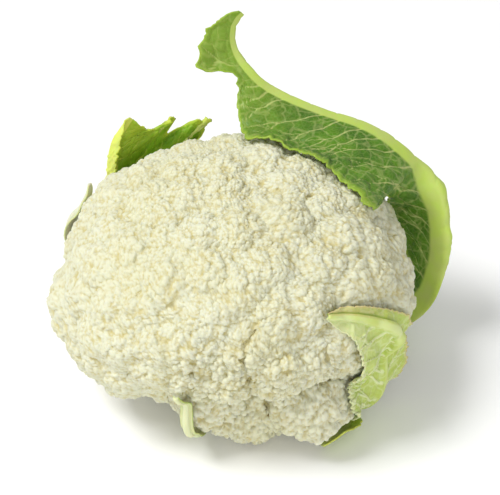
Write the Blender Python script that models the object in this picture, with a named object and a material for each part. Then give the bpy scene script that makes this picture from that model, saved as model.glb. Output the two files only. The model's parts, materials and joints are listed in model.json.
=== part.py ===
"""A trimmed cauliflower lying on its cut stalk: a curd of florets, a short stalk and the leaves left on it.

Metres, +Z up. The origin is the middle of the stalk's cut face, on the surface that the head rests on.
The front is -Y. The curd leans to the front and rests there on one low floret.
"""

import math

import bmesh
import bpy
import numpy as np
from mathutils import Matrix

MM = 0.001
GAP = 0.4 * MM
GOLDEN_ANGLE = math.pi * (3 - math.sqrt(5))
SHARP_ANGLE = math.radians(75)

# Driving dimensions of the head. Its own axis leans forward and to the left, and its florets grow out
# of one centre, from which the curd's surface is told as a distance in every direction.
HEAD_LEAN = math.radians(14)
HEAD_ROLL = math.radians(-4)
HEAD_CENTRE_UP_AXIS = 62 * MM
HEAD_HALF_WIDTH = 97 * MM
HEAD_HALF_DEPTH = 84 * MM
HEAD_RISE = 70 * MM
HEAD_DROP = 62 * MM
CORE_RADIUS = 38 * MM
CORE_FOOT = 32 * MM
# The curd is cut level where it meets the stalk. The cut fades out between these two slopes of a ray.
FOOT_BAND = (0.62, 0.48)
FOOT_FREE = 120 * MM

# Florets: azimuth and polar angle on the head in degrees, reach as a share of the head's shell, and the
# radius of the floret's dome in mm. Azimuth 0 is the right, -90 the front; polar angle 0 is the crown.
FLORETS = (
    (105, 22, 0.98, 33),
    (42, 37, 1.00, 33),
    (-85, 17, 1.00, 31),
    (-25, 36, 1.00, 31),
    (170, 35, 0.965, 34),
    (115, 52, 0.965, 33),
    (72, 60, 0.99, 32),
    (22, 60, 1.00, 31),
    (-16, 63, 1.01, 33),
    (-50, 50, 1.00, 31),
    (-84, 44, 1.01, 31),
    (-126, 45, 1.01, 33),
    (-160, 58, 1.01, 33),
    (152, 62, 0.97, 33),
    (-142, 76, 1.00, 31),
    (-168, 84, 0.99, 29),
    (-118, 67, 0.99, 28),
    (-92, 70, 0.96, 28),
    (-65, 72, 0.98, 29),
    (-38, 80, 0.97, 29),
    (-10, 86, 0.99, 29),
    (16, 85, 0.99, 29),
    (48, 82, 0.98, 30),
    (78, 86, 0.98, 30),
    (106, 82, 0.98, 30),
    (134, 86, 0.98, 30),
    (160, 88, 0.97, 28),
    (-152, 98, 0.96, 25),
    (-136, 98, 0.85, 25),
    (-101, 102, 0.94, 24),
    (-56, 104, 1.11, 24),
    (-30, 100, 0.90, 25),
    (-79, 117, 1.06, 26),
)
SOFTNESS = 2.5 * MM
# Share of the crease that the packed buds fill: on the crown, and in the band of polar angles in degrees
# where the florets stand apart. The florets round one direction at the front are loose too, within these
# cosines of it, and below the last band the creases are open.
TIGHT_CROWN = 0.42
TIGHT_RIM = 0.1
RIM_BAND = (62, 88)
EDGE_BAND = (86, 98)
LOOSE_FRONT = (-82, 92)
LOOSE_WITHIN = (0.80, 0.93)

# Bumps on the florets, which a real curd has by the thousand at a third of this size.
BUMP_SPACING = 9.5 * MM
BUMP_HEIGHT = 1.9 * MM
CREASE_DEPTH = 0.8 * MM
LOBE_SPACING = 21 * MM
LOBE_HEIGHT = 4.2 * MM
LOBE_WIDTH = 0.62
UNDERSIDE_SPACING = 10 * MM
# Bumps and lobes keep at least this share of their spacing apart, and are set on a dome down to this
# height below its middle, in radii, and down to this depth inside the next dome.
LEAST_APART = 0.72
DOME_FLOOR = -0.35
DOME_OVERLAP = 0.8 * MM

STALK_RADIUS = 22 * MM
STALK_TAPER = 0.05
STALK_CORNERS = 0.02
STALK_RINGS = 9
STALK_SIDES = 40
# Leaf bases that were cut short: direction and half width in degrees, height of the cut and how far
# each stands out, in mm. A base swells out between the heights LEDGE_SWELL and ends within LEDGE_CUT.
LEDGE_SWELL = (-6, 9)
LEDGE_CUT = 1.6
TRIMMED_BASES = ((72, 30, 19, 8), (-148, 24, 16, 7), (-78, 12, 11, 4))

# Every leaf: the blade's thickness, its least distance from the curd and the floor, and, in radii of the
# rib, the edge of the narrowest blade, where the fold begins and ends, and where the rib's points lie.
BLADE = 1.0 * MM
CLEAR_OF_CURD = 1.4 * MM
FLOOR_GAP = 1.0 * MM
RIB_EDGE = 1.3
RIB_FULLNESS = 0.9
FOLD_FROM = 0.7
FOLD_TO = 1.9
RIB_MARKS = (0.55, 0.95)
# The blade's width at which its teeth and its ruffle have grown to full size, and the ruffle's shift
# between the two halves in radians.
FULL_TEETH = 10 * MM
FULL_RUFFLE = 20 * MM
NEAR_PHASE = 1.7
WALK_STEPS = 6
TAUT_ROUNDS = 14

# Leaves, each as rows from the stalk to the tip, in mm and degrees: the point on the rib (3), the way
# that the leaf's inner side faces (3), the width of its far and near half, the fold of each half towards
# the inner side, the curl of each, and the radius of the rib. The far half lies on the side of the inner
# direction crossed with the way the rib runs.
RIGHT_LEAF = (
    (24.5, 5, 15, 0.0, 0.0, 1.0, 9, 9, 0, 0, 0, 0, 7.5),
    (52, 7, 13, -0.1, 0.0, 1.0, 9, 9, 0, 0, 0, 0, 7.2),
    (82, 8, 15, -0.5, -0.2, 0.85, 10, 9, 5, -20, 0, 0, 6.8),
    (101, 10, 29, -0.8, -0.4, 0.35, 13, 8, 10, -60, 5, 0, 6.2),
    (107, 13, 47, -0.8, -0.5, 0.2, 21, 8, 15, -90, 8, 0, 5.8),
    (107.8, 15, 64, -0.8, -0.6, 0.1, 27, 9, 15, -100, 10, 0, 5.6),
    (105.5, 19, 83, -0.7, -0.65, 0.25, 30, 10, 10, -100, 10, 0, 5.4),
    (99.5, 24, 99, -0.1, -0.6, 0.65, 22, 11, 0, -100, 0, 0, 5.2),
    (95.5, 26.3, 106, 0.3, -0.45, 0.7, 36, 12, 0, -100, 0, 0, 5.0),
    (91.5, 28, 111, 0.54, -0.25, 0.66, 58, 12, 0, -100, 0, 0, 4.8),
    (77, 34, 121.5, 0.36, -0.17, 0.9, 52, 13, -5, -100, -5, 0, 4.2),
    (63, 39, 126.7, 0.3, -0.12, 0.93, 48, 13, -5, -100, -8, 0, 3.6),
    (47, 43.5, 130, 0.32, -0.15, 0.92, 47, 13, -5, -100, -8, 0, 3.1),
    (31, 47.5, 134.5, 0.38, -0.3, 0.85, 42, 12, -5, -100, -5, 0, 2.7),
    (18, 51, 139.6, 0.4, -0.55, 0.7, 32, 10, 0, -110, 0, 0, 2.3),
    (11, 52.5, 144, 0.4, -0.7, 0.55, 19, 8, 0, -105, 5, 0, 2.0),
    (6, 54, 148.5, 0.35, -0.85, 0.35, 9, 7, 0, -105, 10, 0, 1.8),
    (1.5, 56, 153.5, 0.3, -0.92, 0.2, 8, 6, 0, -100, 10, 0, 1.6),
    (-1.5, 57.7, 158, 0.3, -0.95, 0.12, 21, 6, 0, -100, 10, 0, 1.5),
    (-3.7, 59.3, 164, 0.3, -0.95, 0.1, 18, 5, 0, -95, 10, 0, 1.3),
    (-4, 60.5, 171, 0.3, -0.95, 0.1, 12, 4, 0, -80, 5, 0, 1.1),
    (-2, 61.4, 177, 0.3, -0.95, 0.1, 6, 2.5, 0, -50, 0, 0, 0.9),
    (1.2, 62, 180.7, 0.3, -0.95, 0.1, 2, 1.5, 0, -40, 0, 0, 0.8),
)
BACK_LEAF = (
    (-16.5, 18.5, 15, 0.0, 0.0, 1.0, 8, 8, 0, 0, 0, 0, 6.5),
    (-36, 42, 13, 0.1, -0.1, 1.0, 9, 9, 0, 0, 0, 0, 6.2),
    (-55, 54, 18, 0.4, -0.5, 0.75, 9, 12, 0, 0, 0, 0, 5.8),
    (-65.5, 52, 36, 0.5, -0.8, 0.2, 9, 30, 30, 0, 0, 5, 5.0),
    (-69, 47, 54, 0.45, -0.87, 0.1, 10, 60, 70, 0, 0, 5, 4.4),
    (-70, 45, 69, 0.45, -0.87, 0.1, 11, 72, 100, 0, 0, 5, 3.8),
    (-70, 44.5, 76, 0.45, -0.87, 0.1, 12, 66, 115, 0, 0, 5, 3.5),
    (-70, 44.5, 82, 0.45, -0.87, 0.1, 12, 57, 115, 0, 0, 5, 3.2),
    (-70, 44.8, 87, 0.45, -0.87, 0.1, 12, 40, 115, 0, 0, 5, 3.0),
    (-70, 45, 92, 0.45, -0.87, 0.1, 12, 46, 115, 0, 0, 5, 2.8),
    (-69.8, 45, 97, 0.44, -0.87, 0.1, 12, 38, 115, 0, 0, 5, 2.6),
    (-69.3, 45.2, 101, 0.43, -0.87, 0.1, 12, 38, 115, 0, 0, 5, 2.4),
    (-68.5, 45.8, 106, 0.42, -0.88, 0.1, 11, 28, 110, 0, 0, 5, 2.2),
    (-66.5, 47, 112, 0.4, -0.9, 0.1, 9, 19, 100, 0, 0, 0, 1.8),
    (-62.5, 48.5, 118, 0.4, -0.9, 0.1, 6, 11, 80, 0, 0, 0, 1.4),
    (-58.5, 50, 123, 0.4, -0.9, 0.1, 1.5, 1.5, 0, 0, 0, 0, 0.8),
)
LEFT_LEAF = (
    (-24.5, 1.5, 12, 0.0, 0.0, 1.0, 6, 6, 0, 0, 0, 0, 4.5),
    (-52, 12, 10, 0.1, 0.0, 1.0, 7, 7, 0, 0, 0, 0, 4.2),
    (-80, 24, 20, 0.7, -0.2, 0.7, 8, 8, 10, 10, 0, 0, 4.0),
    (-91, 26, 42, 0.95, -0.3, 0.1, 9, 9, 15, 15, 10, 10, 3.4),
    (-90, 25, 62, 0.95, -0.3, 0.0, 9, 9, 15, 15, 10, 10, 2.8),
    (-86, 24, 80, 0.95, -0.3, -0.1, 7, 7, 15, 15, 0, 0, 2.1),
    (-81.5, 24, 92, 0.95, -0.3, -0.2, 4, 4, 10, 10, 0, 0, 1.4),
    (-80.5, 24, 98, 0.95, -0.3, -0.2, 1.5, 1.5, 0, 0, 0, 0, 0.8),
)
FRONT_LEAF = (
    (19.5, -16, 13, 0.0, 0.0, 1.0, 6.5, 6.5, 0, 0, 0, 0, 5.0),
    (38, -30, 11, 0.0, 0.0, 1.0, 7, 7, 0, 0, 0, 0, 4.8),
    (53, -44, 9, -0.1, 0.05, 1.0, 8, 8, 0, 0, 0, 0, 4.6),
    (64.5, -51.5, 10, -0.45, 0.25, 0.85, 9, 17, -10, 10, 0, 5, 4.3),
    (71.5, -53, 17.5, -0.7, 0.4, 0.6, 15, 27, -20, 20, 0, 5, 4.1),
    (74, -52, 28, -0.84, 0.45, 0.3, 22, 33, -25, 25, 0, 5, 3.8),
    (74, -50, 38, -0.88, 0.47, 0.1, 20, 34, -25, 25, 0, 0, 3.4),
    (73.5, -49.7, 48, -0.88, 0.45, 0.0, 16, 32, -25, 20, 0, 0, 3.1),
    (71, -50.5, 57.5, -0.85, 0.5, -0.15, 12, 30, -25, 15, 0, 0, 2.8),
    (67, -54.5, 67, -0.75, 0.55, -0.35, 9, 28, -20, 15, 0, 0, 2.5),
    (61.5, -61, 76, -0.65, 0.55, -0.5, 7, 21, -10, 10, 0, 0, 2.1),
    (54.5, -68, 84, -0.5, 0.6, -0.65, 6, 12, 0, 5, 0, 0, 1.7),
    (48, -74, 89.5, -0.45, 0.6, -0.7, 4.5, 7, 0, 0, 0, 0, 1.3),
    (41.6, -78.5, 93.5, -0.4, 0.6, -0.75, 1.5, 1.5, 0, 0, 0, 0, 0.8),
)
LOW_LEAF = (
    (52, -44, 3.5, -0.1, 0.1, 1.0, 3, 3, 0, 0, 0, 0, 1.9),
    (58, -55, 3.5, -0.1, 0.2, 0.95, 5, 5, 0, 0, 0, 0, 1.8),
    (57.5, -63.5, 4.5, -0.25, 0.4, 0.8, 9, 8, 10, 10, 0, 0, 1.6),
    (52, -72, 6, -0.4, 0.5, 0.7, 10, 8, 10, 10, 0, 0, 1.3),
    (43.5, -79, 5, -0.4, 0.5, 0.7, 1.5, 1.5, 0, 0, 0, 0, 0.8),
)
BRACT = (
    (-9, -23.5, 12, 0.0, 0.0, 1.0, 4, 4, 0, 0, 0, 0, 3.0),
    (-15, -45, 8, 0.0, 0.1, 1.0, 4, 4, 0, 0, 0, 0, 2.6),
    (-18, -61, 9, 0.0, 0.3, 0.95, 4, 4, 5, 5, 0, 0, 1.9),
    (-21, -72.5, 20, 0.05, 0.75, 0.6, 3.2, 3.2, 15, 15, 0, 0, 1.5),
    (-24, -81, 35, 0.1, 0.95, 0.2, 3.2, 3.2, 15, 15, 0, 0, 1.2),
    (-26.5, -86, 47, 0.2, 0.95, 0.1, 2.8, 2.8, 15, 15, 0, 0, 1.0),
    (-28.5, -89, 56, 0.2, 0.95, 0.1, 1.4, 1.4, 0, 0, 0, 0, 0.8),
)


def unit(vectors):
    """Rows scaled to length 1."""
    return vectors / np.linalg.norm(vectors, axis=-1, keepdims=True)


def head_turn():
    """The rotation from the head's own axes to the world's: lean about X, then roll about Y."""
    return np.array(Matrix.Rotation(HEAD_ROLL, 3, "Y") @ Matrix.Rotation(HEAD_LEAN, 3, "X"))


HEAD_TURN = head_turn()
HEAD_AXIS = HEAD_TURN @ np.array([0.0, 0.0, 1.0])
HEAD_CENTRE = HEAD_AXIS * HEAD_CENTRE_UP_AXIS


def smoothstep(low, high, x):
    """0 below low, 1 above high, and a smooth S between."""
    t = np.clip((x - low) / (high - low), 0, 1)
    return t * t * (3 - 2 * t)


def direction(azimuth, polar):
    """The unit vector in the head's own axes for angles in degrees."""
    a, p = math.radians(azimuth), math.radians(polar)
    return np.array([math.cos(a) * math.sin(p), math.sin(a) * math.sin(p), math.cos(p)])


def shell_reach(rays):
    """Distance from the head's centre to its smooth shell: an ellipsoid, flatter below its widest ring."""
    half_height = np.where(rays[:, 2] > 0, HEAD_RISE, HEAD_DROP)
    scaled = rays / np.column_stack(
        [np.full(len(rays), HEAD_HALF_WIDTH), np.full(len(rays), HEAD_HALF_DEPTH), half_height]
    )
    return 1 / np.linalg.norm(scaled, axis=1)


def floret_spheres():
    """Centres and radii of the florets' domes, in the head's own axes."""
    rays = np.array([direction(azimuth, polar) for azimuth, polar, _, _ in FLORETS])
    radii = np.array([radius for _, _, _, radius in FLORETS]) * MM
    shares = np.array([share for _, _, share, _ in FLORETS])
    return rays * (shell_reach(rays) * shares - radii)[:, None], radii


FLORET_CENTRES, FLORET_RADII = floret_spheres()


def floret_hits(rays):
    """Distance along each ray to the far side of each dome, falling away smoothly where the ray misses it."""
    along = rays @ FLORET_CENTRES.T
    aside = np.sqrt(np.maximum((FLORET_CENTRES**2).sum(1) - along**2, 0))
    inside = np.sqrt(np.maximum(FLORET_RADII**2 - aside**2, 0))
    return along + inside - 2 * np.maximum(aside - FLORET_RADII, 0)


def base_reach(rays):
    """Distance from the head's centre to the florets' domes, with the creases partly filled on the crown.

    The domes are joined by a soft maximum, and the join is drawn towards the shell where the curd is tight.
    """
    hits = floret_hits(rays)
    best = hits.max(1)
    union = best + SOFTNESS * np.log(np.exp((hits - best[:, None]) / SOFTNESS).sum(1)) - SOFTNESS * math.log(2)
    polar = np.degrees(np.arccos(np.clip(rays[:, 2], -1, 1)))
    loose_front = smoothstep(*LOOSE_WITHIN, rays @ direction(*LOOSE_FRONT))
    tight = TIGHT_CROWN + (TIGHT_RIM - TIGHT_CROWN) * np.maximum(smoothstep(*RIM_BAND, polar), loose_front)
    tight = tight * (1 - smoothstep(*EDGE_BAND, polar))
    reach = union + (shell_reach(rays) - union) * tight
    core = np.minimum(CORE_RADIUS, CORE_FOOT / np.maximum(-rays[:, 2], 0.2))
    reach = np.maximum(reach, core)
    return np.minimum(reach, foot_reach(rays))


def foot_reach(rays):
    """Distance to the level at which the curd meets the stalk; away from the stalk nothing is cut there."""
    below = -rays[:, 2]
    return CORE_FOOT / np.maximum(below, 0.3) + FOOT_FREE * smoothstep(*FOOT_BAND, below)


def floor_reach(rays):
    """Distance from the head's centre at which a ray meets the resting surface."""
    drop = -(rays @ HEAD_TURN.T)[:, 2]
    return np.where(drop > 0.05, HEAD_CENTRE[2] / np.maximum(drop, 0.05), np.inf)


def even_count(radius, spacing):
    """How many points at this spacing cover a ball, each at the middle of its own hexagon."""
    return int(4 * math.pi * radius**2 / (math.sqrt(0.75) * spacing**2))


def spiral_on_florets(spacing):
    """Points on the domes in golden-angle spirals, the order in which a real curd sets its buds.

    A point that lies inside another dome, or too near one already kept, is dropped.
    """
    kept = []
    for centre, radius in zip(FLORET_CENTRES, FLORET_RADII):
        outward = centre / np.linalg.norm(centre)
        side = unit(np.cross(outward, [0.31, -0.72, 0.62]))
        other = np.cross(outward, side)
        count = even_count(radius, spacing)
        for i in range(count):
            height = 1 - 2 * (i + 0.5) / count
            if height < DOME_FLOOR:
                break
            ring = math.sqrt(1 - height * height)
            turn = i * GOLDEN_ANGLE
            way = outward * height + (side * math.cos(turn) + other * math.sin(turn)) * ring
            point = centre + way * radius
            reach = np.linalg.norm(point)
            ray = point / reach
            if floret_hits(ray[None])[0].max() > reach + DOME_OVERLAP:
                continue
            place = ray * base_reach(ray[None])[0]
            if all(np.linalg.norm(place - k) > LEAST_APART * spacing for k in kept):
                kept.append(place)
    return np.array(kept)


LOBES = spiral_on_florets(LOBE_SPACING)


def curd_reach(rays):
    """The florets' domes with their lobes: each lobe is a low dome round its own point."""
    reach = base_reach(rays)
    points = rays * reach[:, None]
    nearest = np.full(len(rays), np.inf)
    for lobe in LOBES:
        nearest = np.minimum(nearest, np.linalg.norm(points - lobe, axis=1))
    return reach + LOBE_HEIGHT * (1 - np.minimum(nearest / (LOBE_WIDTH * LOBE_SPACING), 1) ** 2)


def to_world(points):
    """From the head's own axes to the world's."""
    return points @ HEAD_TURN.T + HEAD_CENTRE


def material(name, colour, roughness):
    """A plain surface of one colour."""
    made = bpy.data.materials.new(name)
    made.use_nodes = True
    shader = made.node_tree.nodes["Principled BSDF"]
    shader.inputs["Base Color"].default_value = (*colour, 1)
    shader.inputs["Roughness"].default_value = roughness
    shader.inputs["Metallic"].default_value = 0
    return made


def add_object(name, points, faces, made_of):
    """One named object from its points and faces, in world coordinates."""
    mesh = bpy.data.meshes.new(name)
    mesh.from_pydata([tuple(p) for p in points], [], [tuple(int(i) for i in f) for f in faces])
    mesh.materials.append(made_of)
    mesh.update()
    mesh.shade_smooth()
    mesh.set_sharp_from_angle(angle=SHARP_ANGLE)
    bpy.context.scene.collection.objects.link(bpy.data.objects.new(name, mesh))


def triangulated_sphere(rays):
    """Triangles that join the rays' ends into a closed ball: the hull of the unit vectors, facing out."""
    ball = bmesh.new()
    verts = [ball.verts.new(ray) for ray in rays]
    for i, vert in enumerate(verts):
        vert.index = i
    bmesh.ops.convex_hull(ball, input=verts, use_existing_faces=False)
    triangles = [[v.index for v in face.verts] for face in ball.faces]
    ball.free()
    triangles = np.array(triangles)
    a, b, c = (rays[triangles[:, k]] for k in range(3))
    inward = np.einsum("ij,ij->i", np.cross(b - a, c - a), a + b + c) < 0
    triangles[inward] = triangles[inward][:, ::-1]
    return triangles


def underside_rays():
    """Directions spread evenly below the florets, where the branches run back to the stalk."""
    count = even_count(CORE_RADIUS, UNDERSIDE_SPACING)
    index = np.arange(count) + 0.5
    height = 1 - 2 * index / count
    turn = index * GOLDEN_ANGLE
    ring = np.sqrt(1 - height**2)
    rays = np.column_stack([ring * np.cos(turn), ring * np.sin(turn), height])
    return rays[floret_hits(rays).max(1) < CORE_RADIUS]


def build_curd(made_of):
    """The curd as one closed body: every bump is a raised point ringed by the low corners that it shares
    with its neighbours. Bumps are the corners of a triangulated ball, and each triangle's middle is one of
    the low corners, so each side of a triangle gives two faces."""
    bumps = unit(np.vstack([spiral_on_florets(BUMP_SPACING), underside_rays() * CORE_RADIUS]))
    triangles = triangulated_sphere(bumps)
    corners = unit(bumps[triangles].sum(1))
    on_floret = floret_hits(bumps).max(1) > CORE_RADIUS
    bump_reach = curd_reach(bumps) + np.where(on_floret, BUMP_HEIGHT, 0)
    corner_reach = curd_reach(corners) - np.where(on_floret[triangles].all(1), CREASE_DEPTH, 0)
    rays = np.vstack([bumps, corners])
    reach = np.concatenate([bump_reach, corner_reach])
    reach = np.minimum(np.minimum(reach, floor_reach(rays)), foot_reach(rays))
    points = to_world(rays * reach[:, None])
    across = {}
    for t, triangle in enumerate(triangles):
        for k in range(3):
            across[(triangle[k], triangle[(k + 1) % 3])] = t
    faces = []
    for (a, b), t in across.items():
        faces.append((a, len(bumps) + across[(b, a)], len(bumps) + t))
    add_object("curd", points, faces, made_of)


def spline(rows, count):
    """Rows of numbers passed through smoothly: a Catmull-Rom curve at evenly spaced steps of length."""
    rows = np.array(rows, float)
    ends = np.vstack([2 * rows[0] - rows[1], rows, 2 * rows[-1] - rows[-2]])
    fine = np.linspace(0, len(rows) - 1, 40 * len(rows))
    i = np.minimum(fine.astype(int), len(rows) - 2)
    t = (fine - i)[:, None]
    a, b, c, d = (ends[i + k] for k in range(4))
    line = b + 0.5 * t * (c - a + t * (2 * a - 5 * b + 4 * c - d + t * (3 * (b - c) + d - a)))
    length = np.concatenate([[0], np.cumsum(np.linalg.norm(np.diff(line[:, :3], axis=0), axis=1))])
    steps = np.linspace(0, length[-1], count)
    return np.column_stack([np.interp(steps, length, line[:, k]) for k in range(line.shape[1])])


def half_angles(s, width, rib, fold, curl):
    """The direction of a half blade across the leaf at distance s from the middle of the rib, in radians.

    It lies flat across the rib, bends by the fold just beside it and curls on to the edge.
    """
    bend = smoothstep(FOLD_FROM, FOLD_TO, s / rib)
    share = np.clip((s - rib) / np.maximum(width - rib, MM), 0, 1)
    return np.radians(fold * bend + curl * share**2)


def half_blade(rows, frame, side, columns, teeth, sweep, seed):
    """One half of the leaf's middle surface: walk out from the rib along the half blade's own direction."""
    across, up, along = frame
    if side > 0:
        width, fold, curl = rows[:, 6] * MM, rows[:, 8], rows[:, 10]
    else:
        width, fold, curl = rows[:, 7] * MM, rows[:, 9], rows[:, 11]
    rib = rows[:, 12] * MM
    jag = np.random.default_rng(seed).uniform(-1, 1, len(rows))
    jag[::2] = -np.abs(jag[::2])
    blade = np.maximum(width - RIB_EDGE * rib, 0)
    width = np.maximum(width, RIB_EDGE * rib) + teeth * jag * np.minimum(blade / FULL_TEETH, 1) * MM
    share = np.linspace(0, 1, columns + 1)[1:]
    marks = [rib * mark for mark in RIB_MARKS] + [rib + (width - rib) * k for k in share]
    place = np.zeros((len(rows), 3))
    last = np.zeros(len(rows))
    out = []
    for mark in marks:
        for k in range(WALK_STEPS):
            s = last + (mark - last) * (k + 0.5) / WALK_STEPS
            angle = half_angles(s, width, rib, fold, curl)
            lean = math.radians(sweep) * smoothstep(0, 3, s / rib)
            flat = across * (side * np.cos(angle) * np.cos(lean))[:, None] + along * np.sin(lean)[:, None]
            step = flat + up * (np.sin(angle) * np.cos(lean))[:, None]
            place = place + step * ((mark - last) / WALK_STEPS)[:, None]
        last = mark
        out.append((place, last))
    return out


def leaf_surface(rows, count, columns, teeth, ruffle, waves, sweep, seed):
    """The middle surface of a leaf as a grid of points, and how far each point is from the rib."""
    rows = spline(rows, count)
    spine = rows[:, :3] * MM
    along = unit(np.gradient(spine, axis=0))
    hint = unit(rows[:, 3:6])
    across = unit(np.cross(hint, along))
    up = np.cross(along, across)
    near = half_blade(rows, (across, up, along), -1, columns[0], teeth, sweep, seed)
    far = half_blade(rows, (across, up, along), 1, columns[1], teeth, sweep, seed + 1)
    offsets = [p for p, _ in near[::-1]] + [np.zeros_like(spine)] + [p for p, _ in far]
    distance = [-s for _, s in near[::-1]] + [np.zeros(count)] + [s for _, s in far]
    grid = spine[:, None] + np.stack(offsets, axis=1)
    distance = np.stack(distance, axis=1)
    reach = np.abs(distance) / np.abs(distance).max(1, keepdims=True)
    width = np.abs(distance).max(1, keepdims=True)
    phase = 2 * math.pi * waves * np.linspace(0, 1, count)[:, None] + np.where(distance > 0, 0, NEAR_PHASE)
    wave = ruffle * MM * np.sin(phase) * reach**2 * np.minimum(width / FULL_RUFFLE, 1)
    grid = grid + grid_normals(grid) * wave[..., None]
    return grid, distance, rows[:, 12][:, None] * MM


def grid_normals(grid):
    """Normals of a grid of points, towards the inner side of the leaf."""
    du = np.gradient(grid, axis=0)
    dv = np.gradient(grid, axis=1)
    return unit(np.cross(du, dv))


def taut(need):
    """The least lift that meets the need everywhere and runs smoothly between, like a sheet drawn tight."""
    lift = np.maximum(need, 0)
    for _ in range(TAUT_ROUNDS):
        edge = np.pad(lift, 1, mode="edge")
        around = (edge[:-2, 1:-1] + edge[2:, 1:-1] + edge[1:-1, :-2] + edge[1:-1, 2:]) / 4
        lift = np.maximum(np.maximum(need, 0), 0.3 * lift + 0.7 * around)
    return lift


def push_off_curd(grid, clear):
    """Move a sheet that would be in the curd or too near it outward along the rays from the curd's centre."""
    local = (grid.reshape(-1, 3) - HEAD_CENTRE) @ HEAD_TURN
    length = np.linalg.norm(local, axis=1)
    rays = local / length[:, None]
    need = curd_reach(rays) + BUMP_HEIGHT + clear.reshape(-1) - length
    lift = taut(need.reshape(clear.shape)).reshape(-1)
    return to_world(rays * (length + lift)[:, None]).reshape(grid.shape)


def build_leaf(name, rows, made_of, count, columns, teeth, ruffle, waves, sweep, seed):
    """A closed leaf: inner face, outer face with the half-round rib, and the strip round the edge.

    The columns are counted on the near and the far half. Teeth and ruffle are in mm, the sweep in degrees.
    """
    grid, distance, rib = leaf_surface(rows, count, columns, teeth, ruffle, waves, sweep, seed)
    bulge = RIB_FULLNESS * rib * np.sqrt(np.clip(1 - (distance / rib) ** 2, 0, 1))
    grid = push_off_curd(grid, bulge + BLADE + CLEAR_OF_CURD)
    grid[..., 2] += taut(bulge + BLADE + FLOOR_GAP - grid[..., 2])
    normals = grid_normals(grid)
    front = grid + normals * (0.5 * BLADE)
    back = grid - normals * (0.5 * BLADE + bulge)[..., None]
    height, width = distance.shape
    points = np.vstack([front.reshape(-1, 3), back.reshape(-1, 3)])
    index = np.arange(height * width).reshape(height, width)
    faces = []
    for i in range(height - 1):
        for j in range(width - 1):
            a, b, c, d = index[i, j], index[i, j + 1], index[i + 1, j + 1], index[i + 1, j]
            faces.append((a, c, b))
            faces.append((a, d, c))
            a, b, c, d = (corner + height * width for corner in (a, b, c, d))
            faces.append((a, b, c))
            faces.append((a, c, d))
    rim = list(index[0, :]) + list(index[1:, -1]) + list(index[-1, -2::-1]) + list(index[-2:0:-1, 0])
    for this, after in zip(rim, rim[1:] + rim[:1]):
        faces.append((this, after, after + height * width))
        faces.append((this, after + height * width, this + height * width))
    add_object(name, points, faces, made_of)


def stalk_radius(turn, height):
    """The stump's radius: a rounded pentagon with ledges where leaves were cut away above it."""
    radius = STALK_RADIUS * (1 + STALK_CORNERS * np.cos(5 * turn + 0.7)) - STALK_TAPER * height
    for degrees, spread, top, out in TRIMMED_BASES:
        aside = np.abs((turn - math.radians(degrees) + math.pi) % (2 * math.pi) - math.pi)
        ledge = smoothstep(math.radians(spread), math.radians(spread / 2), aside)
        rise = smoothstep(*LEDGE_SWELL, height / MM) * smoothstep(top + LEDGE_CUT, top, height / MM)
        radius = radius + out * MM * ledge * rise
    return radius


def build_stalk(made_of):
    """The stump as one closed body: straight along the head's axis, square to it on top and level below."""
    turn = np.linspace(0, 2 * math.pi, STALK_SIDES, endpoint=False)
    top = HEAD_CENTRE_UP_AXIS - CORE_FOOT - GAP
    rings = []
    for ring in range(STALK_RINGS):
        share = ring / (STALK_RINGS - 1)
        radius = stalk_radius(turn, np.full_like(turn, top * share))
        local = np.column_stack([radius * np.cos(turn), radius * np.sin(turn), np.full_like(turn, top)])
        world = local @ HEAD_TURN.T
        drop = world[:, 2] / HEAD_AXIS[2] * (1 - share)
        rings.append(world - drop[:, None] * HEAD_AXIS)
    points = np.vstack(rings + [np.zeros((1, 3)), (HEAD_AXIS * top)[None]])
    faces = []
    n = STALK_SIDES
    for ring in range(STALK_RINGS - 1):
        for i in range(n):
            a, b = ring * n + i, ring * n + (i + 1) % n
            faces.append((a, b, b + n))
            faces.append((a, b + n, a + n))
    last = (STALK_RINGS - 1) * n
    for i in range(n):
        faces.append((len(points) - 2, (i + 1) % n, i))
        faces.append((len(points) - 1, last + i, last + (i + 1) % n))
    add_object("stalk", points, faces, made_of)


def build_all():
    """Every node of the cauliflower, in an empty scene."""
    for old in list(bpy.data.objects):
        bpy.data.objects.remove(old)
    white = material("curd_white", (0.83, 0.80, 0.62), 0.6)
    pale = material("stalk_green", (0.62, 0.68, 0.38), 0.5)
    deep = material("leaf_green", (0.16, 0.28, 0.06), 0.5)
    fresh = material("leaf_light_green", (0.33, 0.44, 0.08), 0.5)
    cream = material("leaf_cream", (0.72, 0.74, 0.50), 0.5)
    build_curd(white)
    build_stalk(pale)
    build_leaf("leaf_right", RIGHT_LEAF, deep, 64, (2, 5), 2.2, 1.3, 8, 8, 11)
    build_leaf("leaf_back_left", BACK_LEAF, fresh, 40, (7, 3), 1.8, 1.2, 6, 35, 23)
    build_leaf("leaf_left_tip", LEFT_LEAF, cream, 20, (2, 2), 0.8, 0.5, 3, 15, 31)
    build_leaf("leaf_front_right", FRONT_LEAF, fresh, 34, (5, 4), 1.2, 0.4, 5, 5, 43)
    build_leaf("leaf_low_right", LOW_LEAF, fresh, 14, (2, 2), 1.5, 0.8, 3, 25, 57)
    build_leaf("bract_front", BRACT, cream, 16, (2, 2), 0.4, 0.3, 2, 0, 61)


build_all()
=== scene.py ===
"""The looks of a trimmed cauliflower that lies on its cut stalk. Metres, +Z up, and the front is -Y."""

import json
import math

import bpy
import numpy as np
from mathutils import Matrix, Vector

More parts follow.
